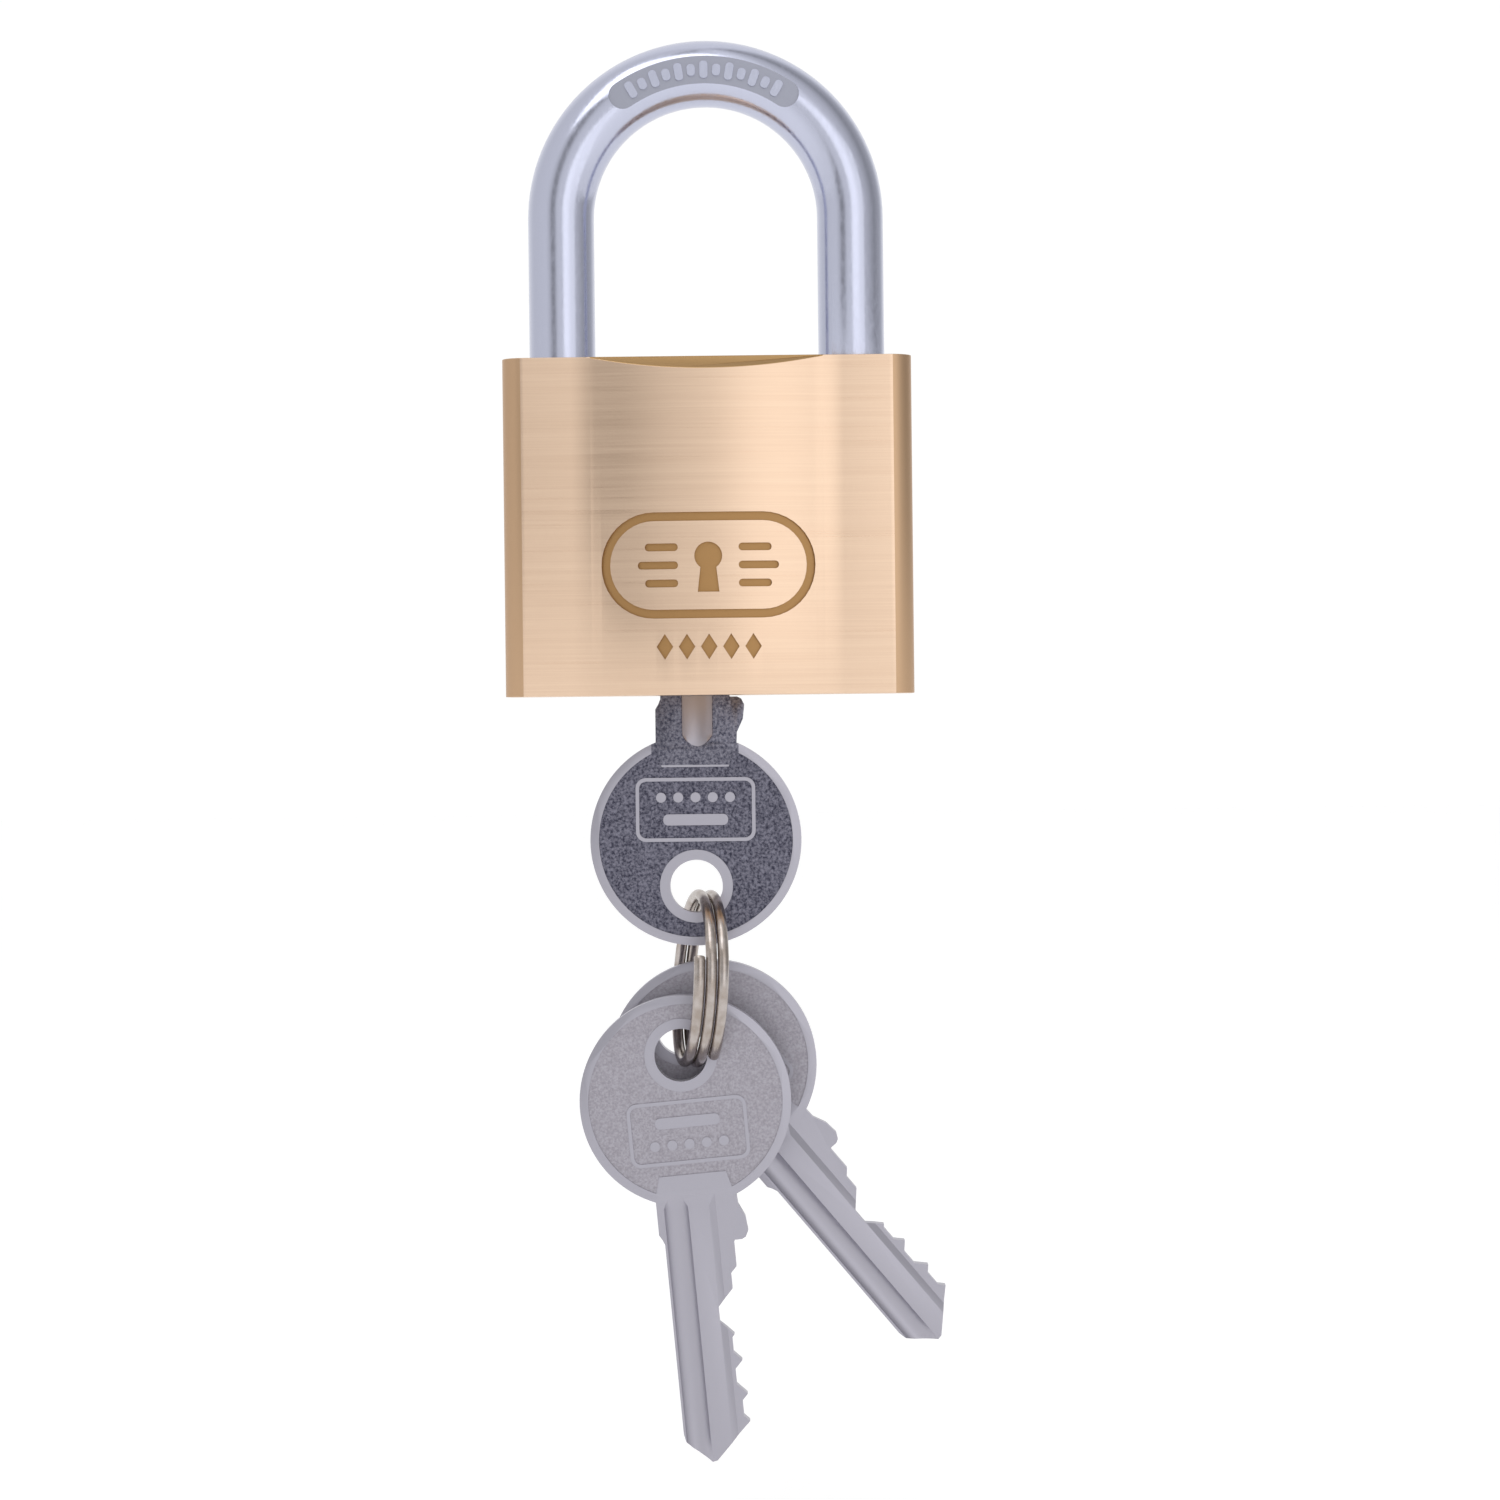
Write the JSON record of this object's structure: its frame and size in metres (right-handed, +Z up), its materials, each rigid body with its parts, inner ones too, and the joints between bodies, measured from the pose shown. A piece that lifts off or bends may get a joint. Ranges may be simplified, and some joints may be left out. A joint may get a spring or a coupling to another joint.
{
  "type": "padlock",
  "caption": "Brass key-operated padlock with a round steel shackle, its cylinder and bolt inside, a key in the keyway and spare keys on a split ring.",
  "frame": {"origin": "inside of the shackle's crown, where the lock hangs on a hasp or chain, in the middle of its depth", "axes": "+Z up along the shackle's legs, +X to the right seen from the front, -Y out of the engraved front"},
  "size_m": [0.0428, 0.0177, 0.1399],
  "materials": {
    "case_brass": "brushed",
    "plug_brass": "brushed",
    "cylinder_brass": "turned",
    "shackle_steel": "bright zinc plate",
    "pin_steel": "ground",
    "spring_steel": "drawn wire",
    "key_nickel": "satin nickel plate",
    "ring_nickel": "bright nickel plate"
  },
  "bodies": {
    "case": {"body": "case_brass", "bolt_channel_plug": "plug_brass", "heel_retaining_pin": "pin_steel", "plug_retaining_pin": "pin_steel", "shackle_spring": "spring_steel", "bolt_spring": "spring_steel", "driver_pin_1": "pin_steel", "driver_pin_2": "pin_steel", "driver_pin_3": "pin_steel", "driver_pin_4": "pin_steel", "driver_pin_5": "pin_steel", "pin_spring_1": "spring_steel", "pin_spring_2": "spring_steel", "pin_spring_3": "spring_steel", "pin_spring_4": "spring_steel", "pin_spring_5": "spring_steel", "chamber_plug_1": "plug_brass", "chamber_plug_2": "plug_brass", "chamber_plug_3": "plug_brass", "chamber_plug_4": "plug_brass", "chamber_plug_5": "plug_brass"},
    "cylinder": {"plug": "cylinder_brass", "locking_cam": "pin_steel", "lock_key": "key_nickel", "key_pin_1": "cylinder_brass", "key_pin_2": "cylinder_brass", "key_pin_3": "cylinder_brass", "key_pin_4": "cylinder_brass", "key_pin_5": "cylinder_brass"},
    "bolt": {"toe_bolt": "pin_steel"},
    "shackle": {"shackle": "shackle_steel"},
    "ring": {"split_ring": "ring_nickel"},
    "front_spare": {"front_key": "key_nickel"},
    "rear_spare": {"rear_key": "key_nickel"}
  },
  "joints": [
    {"name": "shackle_lift", "type": "slide", "parent": "case", "child": "shackle", "axis": [0, 0, 1], "range_m": [0, 0.009], "deforming": ["shackle_spring"]},
    {"name": "plug_turn", "type": "hinge", "parent": "case", "child": "cylinder", "pos_m": [0, 0, -0.058], "axis": [0, 0, 1], "range_deg": [0, 90]},
    {"name": "bolt_slide", "type": "slide", "parent": "case", "child": "bolt", "axis": [-1, 0, 0], "range_m": [0, 0.00375], "deforming": ["bolt_spring"]},
    {"name": "ring_swing", "type": "hinge", "parent": "cylinder", "child": "ring", "pos_m": [-0.0016, 0, -0.0768], "axis": [0, 1, 0], "range_deg": [-30, 30]},
    {"name": "front_key_swing", "type": "hinge", "parent": "ring", "child": "front_spare", "pos_m": [-0.0033, -0.0012, -0.09335], "axis": [0, 1, 0], "range_deg": [-40, 50]},
    {"name": "rear_key_swing", "type": "hinge", "parent": "ring", "child": "rear_spare", "pos_m": [-0.0032, 0.0056, -0.09135], "axis": [0, 1, 0], "range_deg": [-20, 85]}
  ],
  "couplings": [
    {"joint": "plug_turn", "follows": "shackle_lift", "rad_per_m": 174.53},
    {"joint": "bolt_slide", "follows": "shackle_lift", "ratio": 0.41667}
  ]
}
